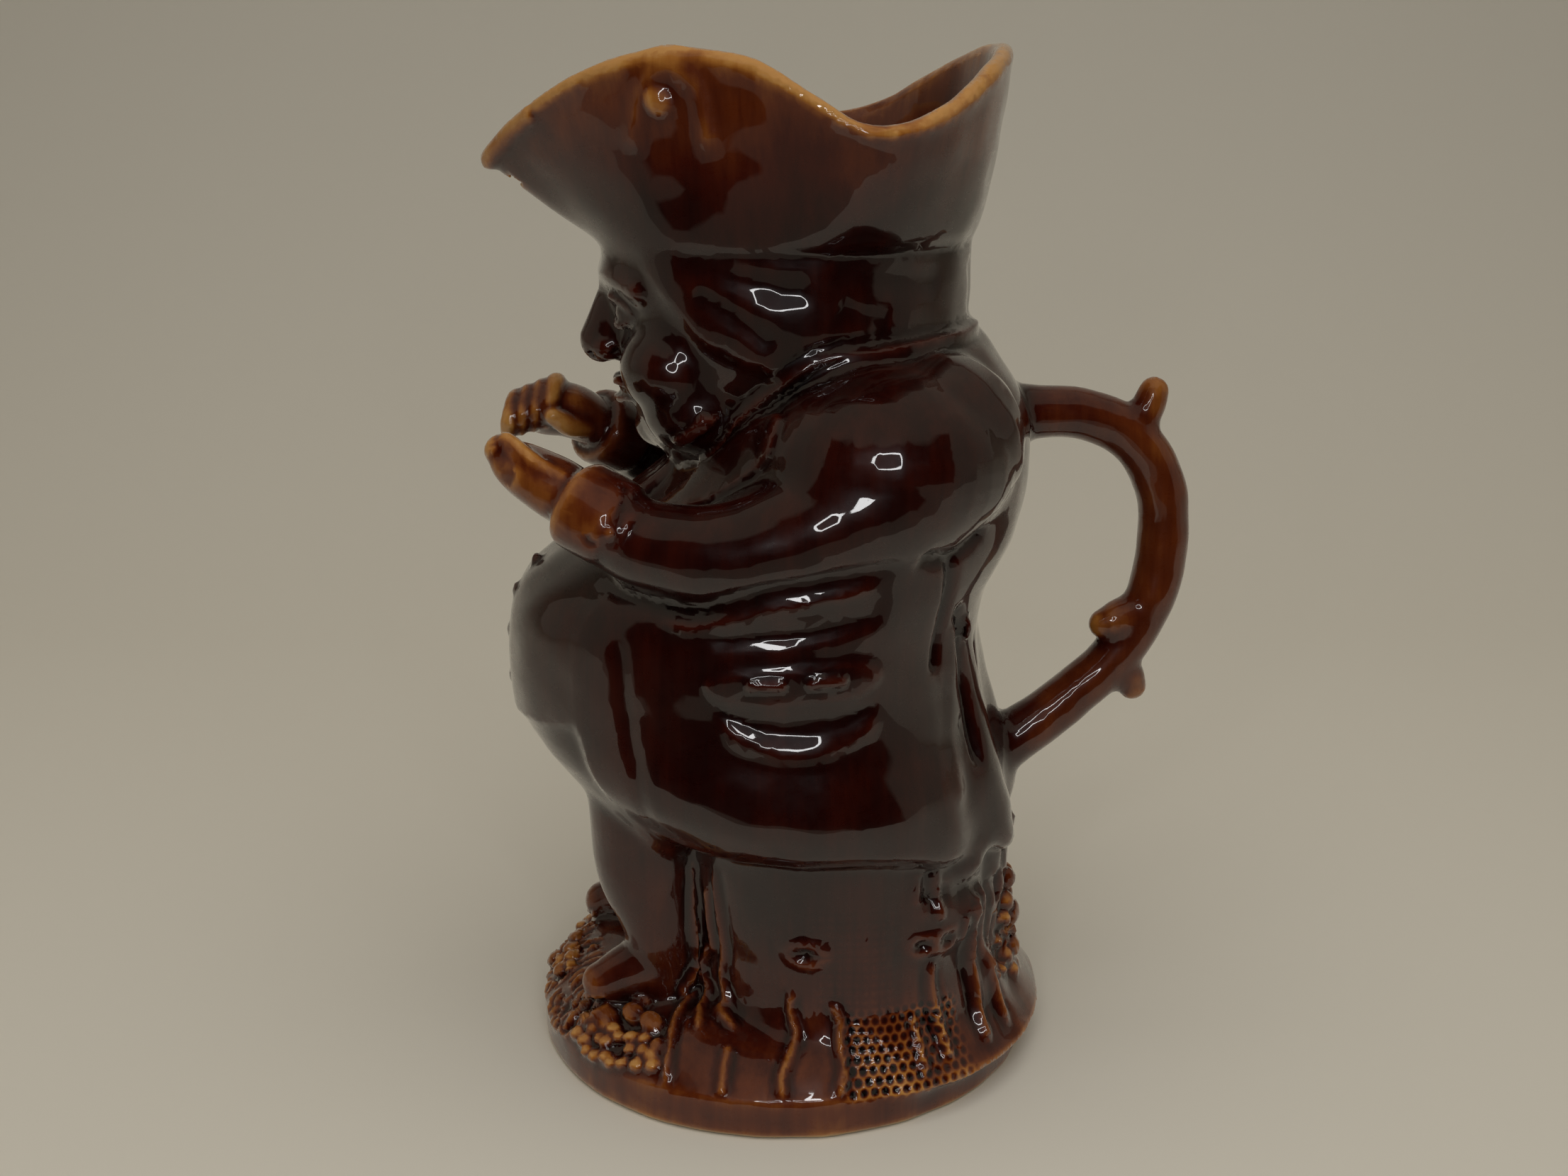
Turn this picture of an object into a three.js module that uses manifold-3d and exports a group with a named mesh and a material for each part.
// A toby jug: a stout man in a cocked hat, coat and breeches, taking snuff in front of a tree stump.
// He is slip-cast earthenware, so he is one hollow piece: the brim of his hat is the jug's rim, its
// front corner is the spout, and a branch with lopped twigs is the handle behind him.
//
// Millimetres, +Z up. The figure is drawn round the middle of its foot, facing -Y, with its left hand
// on the +X side. Angles run round +Z from +X, so the front of the figure is at -90 degrees.
import * as THREE from "three";
import { mergeVertices } from "three/addons/utils/BufferGeometryUtils.js";
import Module from "manifold-3d";

const wasm = await Module();
wasm.setup();

// Driving dimensions
const WALL = 4.6; // thickness of the cast wall
const FOOT_SIDE = 61; // the foot is an oval, half as wide as this and
const FOOT_DEPTH = 62.5; // half as deep as this
const FOOT_WALL = 10; // height of its plain upright edge
const RECESS = 3; // how far the underside is hollowed inside the foot ring
const FLOOR = 8; // height of the inside floor
const GROUND = 20; // height of the mound under the shoes
const COAT_LIFT = 1.8; // how far the coat stands out over the breeches
const WAISTCOAT_LIFT = 1.2;
const COAT_EDGE = 40; // degrees from the front to each front edge of the coat
const WAISTCOAT_HEM = 95;
const HAT_BASE = 202; // where the hat leaves the head
const HANDLE_RADIUS = 6.3;

const FRONT = -90;
const v3 = (x, y, z) => new THREE.Vector3(x, y, z);
const radians = THREE.MathUtils.degToRad;
const { smoothstep, lerp } = THREE.MathUtils;
const mirrored = (p) => v3(-p.x, p.y, p.z);

// ---------------------------------------------------------------- making and joining solids

// The closed solid of a geometry, with its shared vertices merged and its folded triangles dropped.
function solid(geometry) {
  const bare = new THREE.BufferGeometry();
  bare.setAttribute("position", geometry.getAttribute("position"));
  bare.setIndex(geometry.getIndex());
  const merged = mergeVertices(bare, 1e-3);
  const corners = merged.getIndex().array;
  const kept = [];
  for (let i = 0; i < corners.length; i += 3) {
    const [a, b, c] = corners.slice(i, i + 3);
    if (a !== b && b !== c && c !== a) kept.push(a, b, c);
  }
  const mesh = new wasm.Mesh({
    numProp: 3,
    vertProperties: new Float32Array(merged.getAttribute("position").array),
    triVerts: new Uint32Array(kept),
  });
  return new wasm.Manifold(mesh);
}

// A lathe geometry bent to shape: place(row, column) says where each ring point goes, and the middle of
// the first and last rings close the ends.
function skin(rows, columns, place) {
  const profile = [new THREE.Vector2(0, 0)];
  rows.forEach((_, i) => profile.push(new THREE.Vector2(1, i)));
  profile.push(new THREE.Vector2(0, rows.length - 1));
  const lathe = new THREE.LatheGeometry(profile, columns.length);
  const rings = rows.map((row) => columns.map((column) => place(row, column)));
  const middle = (ring) => ring.reduce((sum, p) => sum.add(p), v3(0, 0, 0)).divideScalar(ring.length);
  const ends = [middle(rings[0]), middle(rings[rings.length - 1])];
  const position = lathe.getAttribute("position");
  for (let i = 0; i < position.count; i++) {
    const column = Math.floor(i / profile.length) % columns.length;
    const row = (i % profile.length) - 1;
    let point = rings[row]?.[column];
    if (row < 0) point = ends[0];
    if (row >= rows.length) point = ends[1];
    position.setXYZ(i, point.x, point.y, point.z);
  }
  return solid(lathe);
}

// Evenly spread degrees, with more of them added where an edge needs its own columns.
function degrees(count, extra = []) {
  const even = Array.from({ length: count }, (_, i) => (i * 360) / count - 180);
  const apart = even.filter((a) => extra.every((e) => Math.abs(e - a) > 1.5));
  return [...apart, ...extra].sort((a, b) => a - b);
}

// A point on an oval section. side is its half width, front and back are the y of its ends, and middle
// is the y where it is widest.
function oval({ z, side, front, back, middle = 0 }, angle, lift = 0) {
  const c = Math.cos(radians(angle));
  const s = Math.sin(radians(angle));
  const depth = s > 0 ? back - middle : middle - front;
  return v3((side + lift) * c, middle + (depth + lift) * s, z);
}

// The section at height z, from a list of sections, on a smooth curve through them.
function sectionAt(sections, z) {
  const last = sections.length - 2;
  let i = sections.findIndex((s) => s.z > z) - 1;
  if (i < 0) i = z < sections[0].z ? 0 : last;
  const [p0, p1, p2, p3] = [-1, 0, 1, 2].map((k) => sections[THREE.MathUtils.clamp(i + k, 0, last + 1)]);
  const span = p2.z - p1.z;
  const t = THREE.MathUtils.clamp((z - p1.z) / span, 0, 1);
  const curve = (key) => {
    const [a, b, c, d] = [p0, p1, p2, p3].map((s) => s[key] ?? 0);
    const m1 = ((c - a) / Math.max(p2.z - p0.z, 1e-6)) * span;
    const m2 = ((d - b) / Math.max(p3.z - p1.z, 1e-6)) * span;
    const t2 = t * t;
    const t3 = t2 * t;
    return (2 * t3 - 3 * t2 + 1) * b + (t3 - 2 * t2 + t) * m1 + (3 * t2 - 2 * t3) * c + (t3 - t2) * m2;
  };
  return { z, side: curve("side"), front: curve("front"), back: curve("back"), middle: curve("middle") };
}

// A round, tapering limb along a smooth path with rounded ends. Each stop is [x, y, z, radius]. Across
// is the direction of its width, and flat is its thickness over its width.
function limb(stops, { sides = 9, steps = 3, across = v3(1, 0, 0), flat = 1 } = {}) {
  const path = new THREE.CatmullRomCurve3(stops.map(([x, y, z]) => v3(x, y, z)));
  const radiusAt = (t) => {
    const at = t * (stops.length - 1);
    const i = Math.min(Math.floor(at), stops.length - 2);
    return lerp(stops[i][3], stops[i + 1][3], smoothstep(at - i, 0, 1));
  };
  const rows = [
    { t: 0, push: -0.75, swell: 0.66 },
    ...Array.from({ length: steps + 1 }, (_, i) => ({ t: i / steps, push: 0, swell: 1 })),
    { t: 1, push: 0.75, swell: 0.66 },
  ];
  const columns = Array.from({ length: sides }, (_, i) => (i * 360) / sides);
  return skin(rows, columns, ({ t, push, swell }, angle) => {
    const along = path.getTangent(t);
    const wide = across.clone().addScaledVector(along, -across.dot(along)).normalize();
    const thick = along.clone().cross(wide);
    const radius = radiusAt(t);
    return path
      .getPoint(t)
      .addScaledVector(along, push * radius * flat)
      .addScaledVector(wide, Math.cos(radians(angle)) * radius * swell)
      .addScaledVector(thick, Math.sin(radians(angle)) * radius * swell * flat);
  });
}

// An egg-shaped lump, and a small one, which has few faces.
function lump(x, y, z, rx, ry, rz) {
  const egg = new THREE.SphereGeometry(1, 8, 5);
  return solid(egg.scale(rx, ry, rz).translate(x, y, z));
}

function bead(p, radius) {
  return solid(new THREE.IcosahedronGeometry(radius).translate(p.x, p.y, p.z));
}

// A thin sheet of clay laid on a surface: place(s, t, top) gives the points of its upper and lower face,
// with s and t from 0 to 1.
function laidOn(across, down, place) {
  const box = new THREE.BoxGeometry(1, 1, 1, across, down, 1);
  const position = box.getAttribute("position");
  for (let i = 0; i < position.count; i++) {
    const p = place(position.getX(i) + 0.5, 0.5 - position.getY(i), position.getZ(i) > 0);
    position.setXYZ(i, p.x, p.y, p.z);
  }
  const made = solid(box);
  return made.volume() < 0 ? made.mirror([1, 0, 0]).mirror([1, 0, 0]) : made;
}

const joined = (pieces) => pieces.reduce((sum, piece) => sum.add(piece));

// The same stops on the other side of the figure.
const otherSide = (stops) => stops.map(([x, ...rest]) => [-x, ...rest]);

// ---------------------------------------------------------------- foot, mound and stump

const footColumns = degrees(28);

// A point on the foot, so far in from its edge at height z. The ground above the plain edge is uneven.
function ground(angle, inset, z) {
  const turn = radians(angle);
  const uneven = z > FOOT_WALL ? 0.9 * Math.sin(turn * 9) + 0.7 * Math.cos(turn * 5) : 0;
  const reach = { z: z + uneven, side: FOOT_SIDE - inset };
  return oval({ ...reach, front: inset - FOOT_DEPTH, back: FOOT_DEPTH - inset }, angle);
}

function foot() {
  const rings = [
    { z: 0, inset: 1 },
    { z: 1.2, inset: 0 },
    { z: FOOT_WALL, inset: 0.6 },
    { z: FOOT_WALL + 4, inset: 5 },
    { z: GROUND - 2, inset: 11 },
    { z: GROUND, inset: 18 },
  ];
  return skin(rings, footColumns, ({ z, inset }, angle) => ground(angle, inset, z));
}

const STUMP = [
  { z: 8, side: 52.5, front: -32, back: 60, middle: 15 },
  { z: 19, side: 50, front: -30, back: 58.5, middle: 15 },
  { z: 32, side: 49, front: -29, back: 56, middle: 14 },
  { z: 52, side: 50, front: -30, back: 55.5, middle: 10 },
  { z: 70, side: 50.5, front: -34, back: 53, middle: 6 },
];

function stump() {
  const bark = (angle, z) => 0.7 * Math.sin(radians(angle) * 13) * (1 - smoothstep(z, 40, 62));
  return skin(STUMP, footColumns, (section, angle) => oval(section, angle, bark(angle, section.z)));
}

// Roots that run down the stump and over the mound to the edge of the foot, at these angles.
const ROOTS = [-36, -6, 38, 82, 126, 172, 216];

function roots() {
  return ROOTS.map((angle, i) => {
    const on = (z, lift, radius) => {
      const p = oval(sectionAt(STUMP, z), angle, lift);
      return [p.x, p.y, z, radius];
    };
    const toe = ground(angle, 4.5, 9);
    const top = 40 + 7 * (i % 3);
    return limb([on(top, -4, 3.5), on(25, -2.2, 5), [toe.x, toe.y, toe.z, 4.6]], { sides: 5, steps: 2 });
  });
}

// Clumps of pebbles, each four round a middle one. They lie on the mound in front and grow
// up the back of the stump.
const PEBBLE = 2.6;
const CLUMPS = [
  { at: ground(-58, 11, GROUND - 2), facing: v3(0.4, -0.5, 0.8) },
  { at: ground(-122, 11, GROUND - 2), facing: v3(-0.4, -0.5, 0.8) },
  { at: oval(sectionAt(STUMP, 42), 76), facing: v3(0.2, 1, 0) },
];

function pebbles() {
  return CLUMPS.flatMap(({ at, facing }) => {
    const normal = facing.clone().normalize();
    const u = v3(1, 0.1, 0).cross(normal).normalize();
    const v = normal.clone().cross(u);
    return Array.from({ length: 5 }, (_, i) => {
      const away = i === 4 ? 0 : PEBBLE * 1.6;
      const p = at.clone().addScaledVector(u, away * Math.cos(radians(i * 90 + 20)));
      p.addScaledVector(v, away * Math.sin(radians(i * 90 + 20)));
      return bead(p, PEBBLE);
    });
  });
}

// ---------------------------------------------------------------- legs and shoes

const LEG = [
  [19, -35, 72, 14],
  [19.5, -35, 53, 12.4],
  [20, -33, 43, 10.4],
  [20, -31.5, 33, 9],
  [20, -31, 24, 7.5],
];
const SHOE = [
  [20, -27, 24, 6.4],
  [20.5, -34, 26, 7.4],
  [21, -42, 24, 6.6],
  [22, -48, 22.5, 5],
];
const legs = () => [LEG, otherSide(LEG), SHOE, otherSide(SHOE)].map((stops) => limb(stops, { sides: 8 }));

// ---------------------------------------------------------------- coat, waistcoat and breeches

const BODY = [
  { z: 57, side: 52.5, front: -40, back: 55.5, middle: 4 },
  { z: 62, side: 55.2, front: -46, back: 56.3, middle: 4 },
  { z: 76, side: 57.2, front: -56.5, back: 53.4, middle: 2 },
  { z: 85, side: 56.2, front: -62, back: 50.5, middle: 1 },
  { z: 93.5, side: 54.3, front: -65, back: 48.4, middle: 0 },
  { z: 95.5, side: 54, front: -65.3, back: 48, middle: 0 },
  { z: 104, side: 53.6, front: -66.2, back: 46.4, middle: 0 },
  { z: 113, side: 54, front: -65.3, back: 45.6, middle: 0 },
  { z: 121, side: 54.2, front: -62, back: 47.4, middle: 2 },
  { z: 134, side: 53.8, front: -45.5, back: 54, middle: 7 },
  { z: 141, side: 53, front: -33, back: 55.6, middle: 10 },
  { z: 158, side: 49, front: -18.5, back: 56.8, middle: 14 },
  { z: 166, side: 45, front: -14, back: 54.4, middle: 15 },
  { z: 173, side: 40, front: -12, back: 50, middle: 15 },
  { z: 185, side: 29, front: -6, back: 40, middle: 15 },
];
const coatEdges = [-1.2, 1.2].flatMap((d) => [FRONT - COAT_EDGE + d, FRONT + COAT_EDGE + d]);
const bodyColumns = degrees(28, coatEdges);

// A point on the clothes: the coat is thickest, the waistcoat stands out over the breeches, and pleats
// fan down the back of the skirts. The hem rises from the back to the front corners.
function clothes(z, angle, lift = 0) {
  const fromFront = Math.abs(angle - FRONT) > 180 ? 360 - Math.abs(angle - FRONT) : Math.abs(angle - FRONT);
  const inCoat = smoothstep(fromFront, COAT_EDGE - 1.2, COAT_EDGE + 1.2);
  const inWaistcoat = (1 - inCoat) * smoothstep(z, WAISTCOAT_HEM - 1.5, WAISTCOAT_HEM + 0.5);
  const pleat = smoothstep(fromFront, 128, 140) * (1 - smoothstep(z, 84, 118));
  const folds = 1.5 * pleat * Math.cos(radians((fromFront - 180) * 12));
  const flat = sectionAt(BODY, z);
  const p = oval(flat, angle, inCoat * COAT_LIFT + inWaistcoat * WAISTCOAT_LIFT + folds + lift);
  const nearHem = 1 - smoothstep(z, 57, 84);
  const rise = 8.5 * (1 - smoothstep(p.y, 8, 56)) + 4 * (1 - smoothstep(p.y, -50, -34));
  const nearFront = Math.max(0, 1 - (fromFront / COAT_EDGE) ** 2);
  const nearWaist = 1 - Math.min(1, Math.abs(z - WAISTCOAT_HEM) / 16);
  const sag = 6 * nearFront * nearWaist;
  p.z += nearHem * (inCoat * rise + (1 - inCoat) * 3) - sag;
  return p;
}

const body = () => skin(BODY, bodyColumns, ({ z }, angle) => clothes(z, angle));

// The pocket flap on the side of the skirt, with a curved lower edge and two buttons.
const POCKET = { top: 112, drop: 9.5, sag: 5, from: -22, to: 17, thick: 1.9 };

function pocket(side) {
  const at = (degree) => (side > 0 ? degree : 180 - degree);
  const flap = laidOn(6, 2, (s, t, top) => {
    const z = POCKET.top - t * (POCKET.drop + POCKET.sag * Math.sin(Math.PI * s));
    return clothes(z, at(lerp(POCKET.from, POCKET.to, side > 0 ? s : 1 - s)), top ? POCKET.thick : -2);
  });
  const buttons = [0.28, 0.72].map((s) => {
    const p = clothes(POCKET.top - 6, at(lerp(POCKET.from, POCKET.to, s)), POCKET.thick);
    return bead(p, 2.5);
  });
  return [flap, ...buttons];
}

// Waistcoat buttons down the middle of the belly, and a button at the top of each back pleat.
function buttons() {
  const front = [100, 108.5, 117, 125].map((z) => clothes(z, FRONT, 0.6));
  const back = [68, 112].map((degree) => clothes(111, degree, 0.6));
  return [...front, ...back].map((p) => bead(p, 2.4));
}

// The lapels are flat sheets that lie from the neck to the crook of each arm, and the shirt frill
// falls between them.
const LAPEL = [
  v3(9, -19, 157),
  v3(8, -34, 142),
  v3(18, -35, 138),
  v3(29, -22, 146),
  v3(36, -7, 154),
  v3(38.5, 0, 160.5),
  v3(34, 0, 167),
  v3(23, -12, 167),
];
const LAPEL_THICK = 2.2;

function lapel(outline) {
  const [a, b, c] = [outline[0], outline[2], outline[5]];
  const normal = b.clone().sub(a).cross(c.clone().sub(a)).normalize();
  if (normal.z < 0) normal.negate();
  const facing = outline[0].x > 0 ? outline : outline.toReversed();
  return skin([-6, LAPEL_THICK / 2], facing, (height, corner) => corner.clone().addScaledVector(normal, height));
}

const FRILL = [-4.5, 0, 4.5].map((x) => [
  [x * 0.6, -17.5, 157, 2.2],
  [x, -27, 147, 2.6],
  [x * 1.2, -37, 139.5, 2.4],
  [x * 1.3, -49, 133.5, 1.8],
]);
const COLLAR = [
  [29, -7, 171, 2.8],
  [36.8, 4, 177.5, 3.6],
  [32.5, 25, 181, 3.6],
  [19, 40, 182, 3.6],
  [0, 45.5, 182, 3.6],
  [-19, 40, 182, 3.6],
  [-32.5, 25, 181, 3.6],
  [-36.8, 4, 177.5, 3.6],
  [-29, -7, 171, 2.8],
];

function chest() {
  const frill = FRILL.map((stops) => limb(stops, { sides: 5, steps: 2 }));
  const collar = limb(COLLAR, { sides: 5, steps: 12, across: v3(0, 0, 1), flat: 0.9 });
  return [lapel(LAPEL), lapel(LAPEL.map(mirrored)), ...frill, collar];
}

// ---------------------------------------------------------------- arms and hands

const LEFT_ARM = [
  [32, 31, 159, 20.5],
  [41, 20, 152, 19.5],
  [46.5, 6, 144, 16],
  [49, -10, 138.5, 12.6],
  [46.5, -22, 137.5, 10.8],
  [41, -34, 139, 9.8],
  [35, -44, 143.5, 9.6],
];
const RIGHT_ARM = [
  [-32, 31, 159, 20.5],
  [-41, 20, 152, 19.5],
  [-46.5, 6, 144.5, 16],
  [-49, -9, 140, 12.6],
  [-46, -20, 140.5, 10.8],
  [-40, -33, 144, 9.6],
  [-35, -41, 148.5, 9.2],
];
const LEFT_CUFF = [
  [37, -40, 141.5, 10.6],
  [34.5, -45, 144.5, 11.4],
  [32, -49.5, 147.5, 10.8],
];
const RIGHT_CUFF = [
  [-37, -37, 146.5, 10.2],
  [-34.5, -42, 149.5, 11],
  [-32, -46.5, 152.3, 10.4],
];

// The left hand is held out with its palm up and its fingers curled, to hold the snuff.
const LEFT_PALM = [
  [31, -52, 149, 7],
  [27.5, -58, 153, 8.2],
  [24.5, -62.5, 157, 7.4],
];
const leftFinger = (k) => [
  [28 - k * 4, -60 - k * 0.3, 153.5, 2.7],
  [26.5 - k * 3.9, -64.5 - k * 0.2, 157.5, 2.6],
  [25.5 - k * 3.7, -65.6, 163 - Math.abs(k - 1), 2.1],
];
const LEFT_THUMB = [
  [35.5, -52, 151, 3.2],
  [35, -58, 156, 2.9],
  [32, -62, 161, 2.4],
];

// The right hand is closed on a pinch of snuff, with the four fingers curled over towards the middle.
const RIGHT_PALM = [
  [-31, -47, 153, 7],
  [-29.5, -53, 156.5, 8.6],
  [-28, -59.5, 156.5, 8],
];
const rightFinger = (k) => [
  [-32, -54 - k * 4, 162.5 - k * 0.9, 2.5],
  [-25.5, -54.5 - k * 4, 164 - k * 1.3, 2.5],
  [-20.5, -56 - k * 3.9, 158.5 - k * 1.1, 2.4],
  [-22.5, -57 - k * 3.7, 153.5 - k * 0.6, 2.1],
];
const RIGHT_THUMB = [
  [-25, -50, 153, 3],
  [-20.5, -54, 155, 2.7],
  [-19, -58, 158.5, 2.2],
];

function arms() {
  const finger = { sides: 5, steps: 2 };
  const fingers = [0, 1, 2, 3];
  return [
    limb(LEFT_ARM, { sides: 10, steps: 6 }),
    limb(RIGHT_ARM, { sides: 10, steps: 6 }),
    limb(LEFT_CUFF, { steps: 1 }),
    limb(RIGHT_CUFF, { steps: 1 }),
    limb(LEFT_PALM, { sides: 7, steps: 2, flat: 0.72 }),
    limb(RIGHT_PALM, { sides: 7, steps: 2, flat: 0.85 }),
    limb(LEFT_THUMB, finger),
    limb(RIGHT_THUMB, finger),
    ...fingers.map((k) => limb(leftFinger(k), finger)),
    ...fingers.map((k) => limb(rightFinger(k), { ...finger, across: v3(0, 1, 0) })),
  ];
}

// ---------------------------------------------------------------- head, face and hair

const HEAD = [
  { z: 149, side: 12, front: -24, back: 10, middle: -10 },
  { z: 153, side: 21, front: -30, back: 22, middle: -6 },
  { z: 159, side: 28, front: -34, back: 32, middle: -2 },
  { z: 167, side: 33, front: -37, back: 38, middle: 0 },
  { z: 177, side: 36.5, front: -40, back: 41.5, middle: 0 },
  { z: 188, side: 38.2, front: -42, back: 43.2, middle: 0 },
  { z: 197, side: 38.8, front: -43.4, back: 43.5, middle: 0 },
  { z: 207, side: 39.2, front: -44, back: 43.3, middle: 0 },
];

const head = () => skin(HEAD, degrees(18), (section, angle) => oval(section, angle));

// A calm, plain face: the eyes half way down the head, the foot of the nose half way from the brow to
// the chin, and the mouth a third of the way from there to the chin.
const EYE = { x: 12.5, y: -36.6, z: 186.5 };

function face() {
  const nose = [
    [0, -40, 194, 3.4],
    [0, -41, 186, 4.6],
    [0, -42, 177.8, 6],
  ];
  const brow = [
    [4, -41.2, 192.5, 2],
    [12, -39.8, 194.3, 2.4],
    [20, -35.4, 191.5, 1.8],
  ];
  const upperLip = [
    [-8.5, -34.8, 167.6, 1.6],
    [0, -37.4, 168.8, 2.2],
    [8.5, -34.8, 167.6, 1.6],
  ];
  const lowerLip = [
    [-6.5, -33.6, 164.4, 1.6],
    [0, -35.9, 164.2, 2.4],
    [6.5, -33.6, 164.4, 1.6],
  ];
  const across = { sides: 5, steps: 2, across: v3(0, 0, 1) };
  const bothSides = [1, -1].flatMap((side) => [
    limb(side > 0 ? brow : otherSide(brow), across),
    lump(side * EYE.x, EYE.y, EYE.z, 5.2, 4.2, 3.4),
    lump(side * 16, -29.5, 175, 9.5, 8.5, 9),
    bead(v3(side * 3.9, -42.6, 176), 3),
  ]);
  return [
    ...bothSides,
    limb(nose, { sides: 7, steps: 2 }),
    limb(upperLip, across),
    limb(lowerLip, across),
    lump(0, -23, 166, 17, 12, 11),
    lump(0, -29.5, 157, 8, 5.5, 5.5),
  ];
}

// The hair falls in long locks from the temples, back and down over the ears to the collar.
const LOCK_COUNT = 4;

function locks(side) {
  return Array.from({ length: LOCK_COUNT }, (_, k) => {
    const start = -50 + k * 31;
    const stops = [0, 1, 2, 3].map((i) => {
      const z = 203 - i * 9 - k * 0.6;
      const angle = start + i * 11 + 3 * Math.sin(i * 1.6 + k);
      const p = oval(sectionAt(HEAD, z), side > 0 ? angle : 180 - angle, -1.2);
      return [p.x, p.y, z, 3.1 + 0.7 * Math.sin((i / 3) * Math.PI)];
    });
    return limb(stops, { sides: 5 });
  });
}

// ---------------------------------------------------------------- hat

// The rim of the brim on the left side, from the spout to the middle of the back. It is turned up in
// three flaps, so it dips at the spout and at the two corners behind the shoulders.
const RIM_LEFT = [
  v3(0, -69, 220),
  v3(12, -63, 227.5),
  v3(23, -54, 235),
  v3(32, -42, 241),
  v3(39, -27, 243.8),
  v3(46, -11, 241.5),
  v3(51, 2, 234.5),
  v3(53, 12, 229),
  v3(51, 22, 229.3),
  v3(44, 32, 232.8),
  v3(33, 41, 238.4),
  v3(18, 48.5, 243.3),
  v3(0, 52, 245),
];
const RIM_RIGHT = RIM_LEFT.slice(1, -1).toReversed().map(mirrored);
const RIM = new THREE.CatmullRomCurve3([...RIM_LEFT, ...RIM_RIGHT], true);
const HAT_COLUMNS = Array.from({ length: 32 }, (_, i) => i / 32);
const BRIM_RING = { z: HAT_BASE, side: 39.8, front: -44.2, back: 43.4 };

// A point on the outside of the hat: up runs from 0 at the head to 1 at the rim. The front and sides
// slope straight out to the rim, and the back turns up steeply. Inset moves the point in from there.
function hat(around, up, inset = 0, drop = 0) {
  const rim = RIM.getPointAt(around);
  const angle = THREE.MathUtils.radToDeg(Math.atan2(rim.y / 1.12, rim.x));
  const ring = oval(BRIM_RING, angle);
  const steepness = lerp(0.95, 0.55, smoothstep(rim.y, -30, 50));
  const out = up ** steepness;
  const p = v3(lerp(ring.x, rim.x, out), lerp(ring.y, rim.y, out), lerp(ring.z, rim.z, up));
  const inward = v3(-p.x, -p.y, 0).normalize();
  return p.addScaledVector(inward, inset).add(v3(0, 0, -drop));
}

function brim() {
  const rows = [
    { up: -0.12, inset: 1.5 },
    { up: 0, inset: 0 },
    { up: 0.2, inset: 0 },
    { up: 0.55, inset: 0 },
    { up: 1, inset: 0, drop: 2 },
    { up: 1, inset: 1.2, drop: 0.3 },
    { up: 1, inset: 3.4, drop: 0.3 },
    { up: 1, inset: WALL + 0.6, drop: 2.2 },
  ];
  return skin(rows, HAT_COLUMNS, ({ up, inset, drop }, around) => {
    return hat(around, Math.max(up, 0), inset, up < 0 ? 4 : drop);
  });
}

// The button and loop that hold up the left flap.
function cockade() {
  const loop = [
    [42.5, -35, 221.5, 2.3],
    [41.5, -34, 229, 2],
    [40.5, -32.5, 236.5, 1.9],
    [41, -27.5, 240.4, 1.9],
    [44, -22, 236.5, 1.9],
    [45, -20.5, 229, 2],
    [44.5, -17.5, 221.5, 2.3],
  ];
  const onHat = loop.map(([, y, z, radius]) => {
    const nearest = HAT_COLUMNS.map((a) => hat(a, (z - HAT_BASE) / 42)).filter((p) => p.x > 0 && p.y < 20);
    const p = nearest.reduce((best, q) => (Math.abs(q.y - y) < Math.abs(best.y - y) ? q : best));
    return [p.x - 0.4, y, z, radius];
  });
  return [limb(onHat, { sides: 5, steps: 8 }), lump(39.5, -27.6, 233.6, 4.5, 4.2, 4.2)];
}

// ---------------------------------------------------------------- handle

// A crooked branch from the shoulders to the seat of the coat, with the stubs of three lopped twigs.
const HANDLE = [
  [0, 48, 159.5, HANDLE_RADIUS + 1.5],
  [0, 60, 159.3, HANDLE_RADIUS + 0.4],
  [0, 73, 158.6, HANDLE_RADIUS],
  [0, 86, 152.5, HANDLE_RADIUS],
  [0, 93.5, 140, HANDLE_RADIUS],
  [0, 95, 126, HANDLE_RADIUS],
  [0, 92.5, 111, HANDLE_RADIUS],
  [0, 84, 96, HANDLE_RADIUS],
  [0, 73, 85.5, HANDLE_RADIUS],
  [0, 62, 77, HANDLE_RADIUS + 0.6],
  [0, 51, 70, HANDLE_RADIUS + 1.8],
];
const TWIGS = [
  [
    [0, 86.5, 154, 5],
    [0, 89.5, 160.5, 4.2],
    [0, 90.6, 164, 3.6],
  ],
  [
    [1, 87, 107, 5.4],
    [2, 82.5, 106, 4.8],
    [2, 80.5, 105.5, 4],
  ],
  [
    [0, 84, 95, 5.4],
    [0, 88, 90.5, 4.6],
    [0, 89.3, 88, 3.8],
  ],
];

const handle = () => [limb(HANDLE, { steps: 14 }), ...TWIGS.map((t) => limb(t, { sides: 6, steps: 1 }))];

// ---------------------------------------------------------------- the hollow inside

const HOLLOW = [
  { z: FLOOR, side: 40, front: -18, back: 47, middle: 15 },
  { z: FLOOR + 3, side: 44, front: -23, back: 51, middle: 15 },
  { z: 60, side: 45, front: -26, back: 50.5, middle: 10 },
  { z: 80, side: 51.5, front: -52, back: 47.5, middle: 2 },
  { z: 106, side: 49.5, front: -61.3, back: 42, middle: 0 },
  { z: 128, side: 49.6, front: -50.5, back: 46.5, middle: 4 },
  { z: 145, side: 47.5, front: -22, back: 52, middle: 12 },
  { z: 156, side: 44.5, front: -13.5, back: 52.5, middle: 13 },
  { z: 172, side: 34, front: -27, back: 45, middle: 8 },
  { z: 180, side: 32.3, front: -34, back: 39.6, middle: 3 },
  { z: HAT_BASE, side: 35.2, front: -39.4, back: 38.8, middle: 0 },
];
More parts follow.
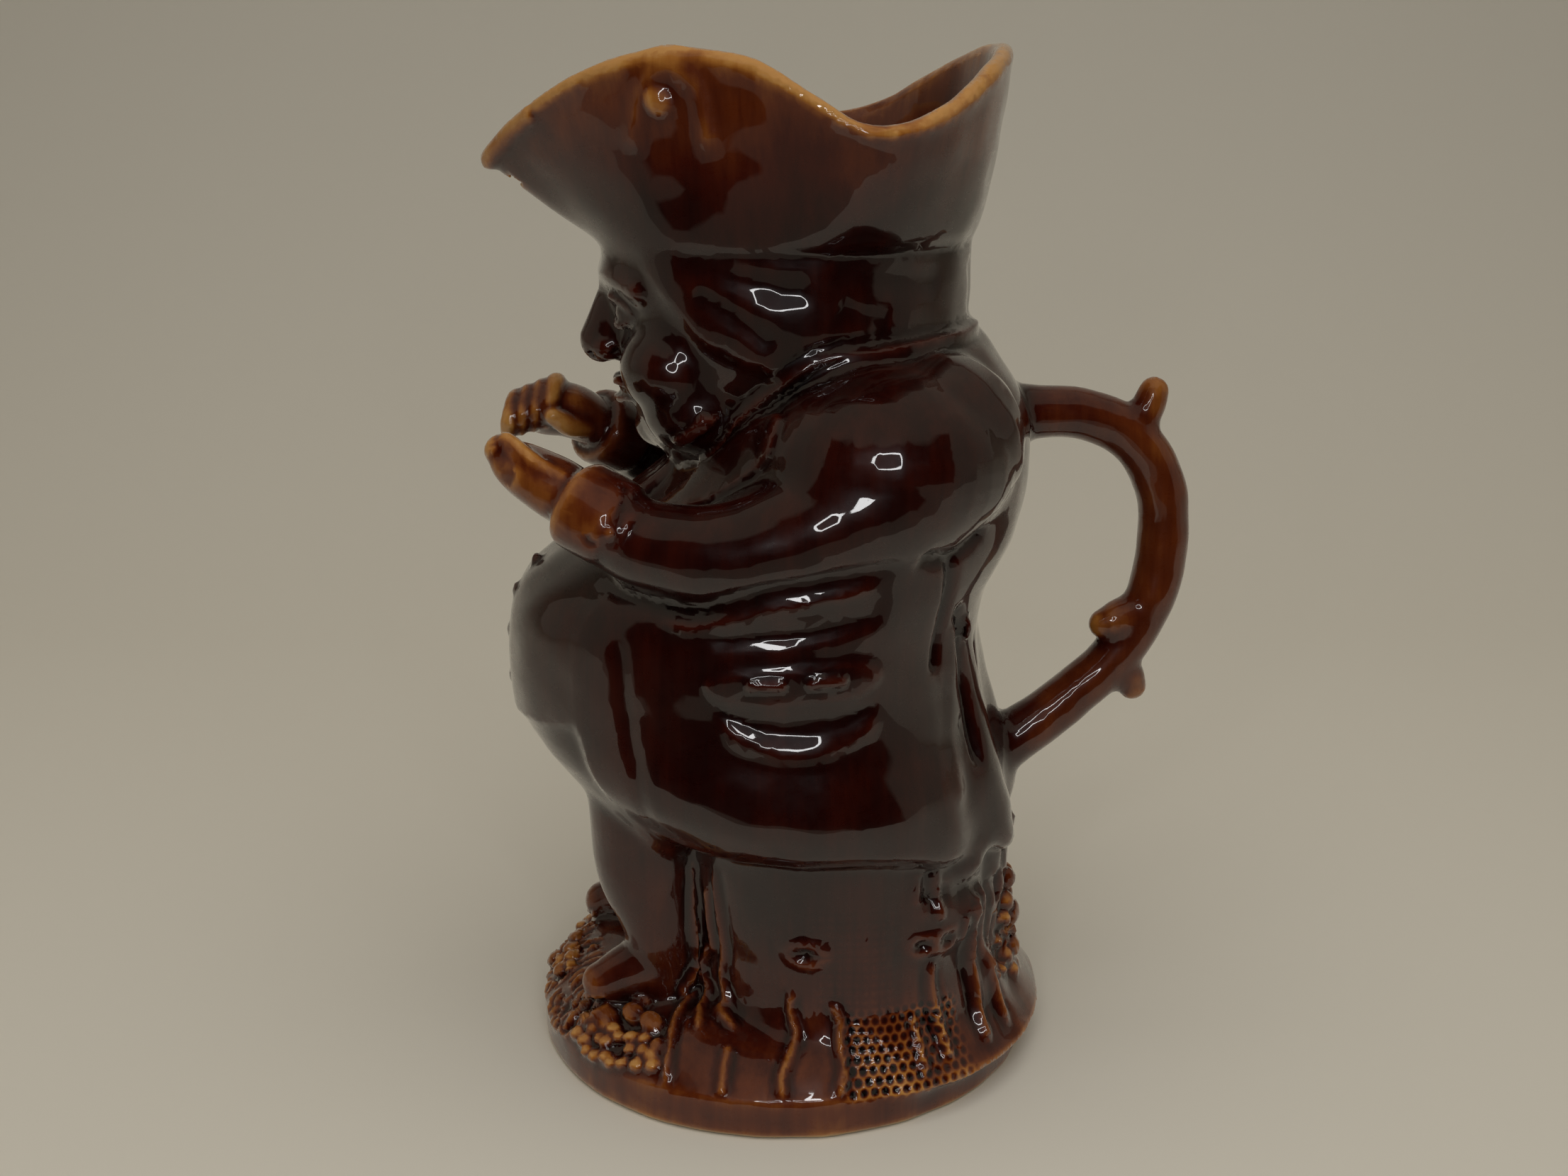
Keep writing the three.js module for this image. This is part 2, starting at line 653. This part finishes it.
const ABOVE = 262; // clear of the highest point of the rim

function hollow() {
  const rows = [...HOLLOW, { up: 0.3 }, { up: 0.65 }, { up: 1 }, { up: 1, over: true }];
  const columns = HAT_COLUMNS.filter((_, i) => i % 3 !== 1);
  return skin(rows, columns, (row, around) => {
    const rim = RIM.getPointAt(around);
    const angle = THREE.MathUtils.radToDeg(Math.atan2(rim.y / 1.12, rim.x));
    if (row.side) return oval(row, angle);
    const p = hat(around, row.up, WALL);
    if (row.over) p.z = ABOVE;
    return p;
  });
}

function recess() {
  const ring = FOOT_DEPTH - 8;
  return skin([-1, RECESS], degrees(24), (z, angle) =>
    oval({ z, side: FOOT_SIDE - 8, front: -ring, back: ring }, angle),
  );
}

// ---------------------------------------------------------------- the jug

const clay = joined([
  foot(),
  stump(),
  ...roots(),
  ...pebbles(),
  ...legs(),
  body(),
  ...pocket(1),
  ...pocket(-1),
  ...buttons(),
  ...chest(),
  ...arms(),
  head(),
  ...face(),
  ...locks(1),
  ...locks(-1),
  brim(),
  ...cockade(),
  ...handle(),
])
  .subtract(hollow())
  .subtract(recess());

// The geometry of a solid, and where to put it so that the origin is under the middle of its box.
function geometryOf(made) {
  const mesh = made.getMesh();
  const points = new Float32Array(mesh.numVert * 3);
  for (let i = 0; i < mesh.numVert; i++) {
    points.set(mesh.vertProperties.subarray(i * mesh.numProp, i * mesh.numProp + 3), i * 3);
  }
  const geometry = new THREE.BufferGeometry();
  geometry.setAttribute("position", new THREE.BufferAttribute(points, 3));
  geometry.setIndex(new THREE.BufferAttribute(mesh.triVerts, 1));
  geometry.computeVertexNormals();
  geometry.computeBoundingBox();
  return geometry;
}

const glaze = new THREE.MeshStandardMaterial({ color: 0x2a0f08, roughness: 0.08, metalness: 0 });
const jug = new THREE.Mesh(geometryOf(clay), glaze);
jug.name = "jug";
const { min, max } = jug.geometry.boundingBox;
jug.position.set(-(min.x + max.x) / 2, -(min.y + max.y) / 2, 0);

const part = new THREE.Group();
part.add(jug);
export default part;
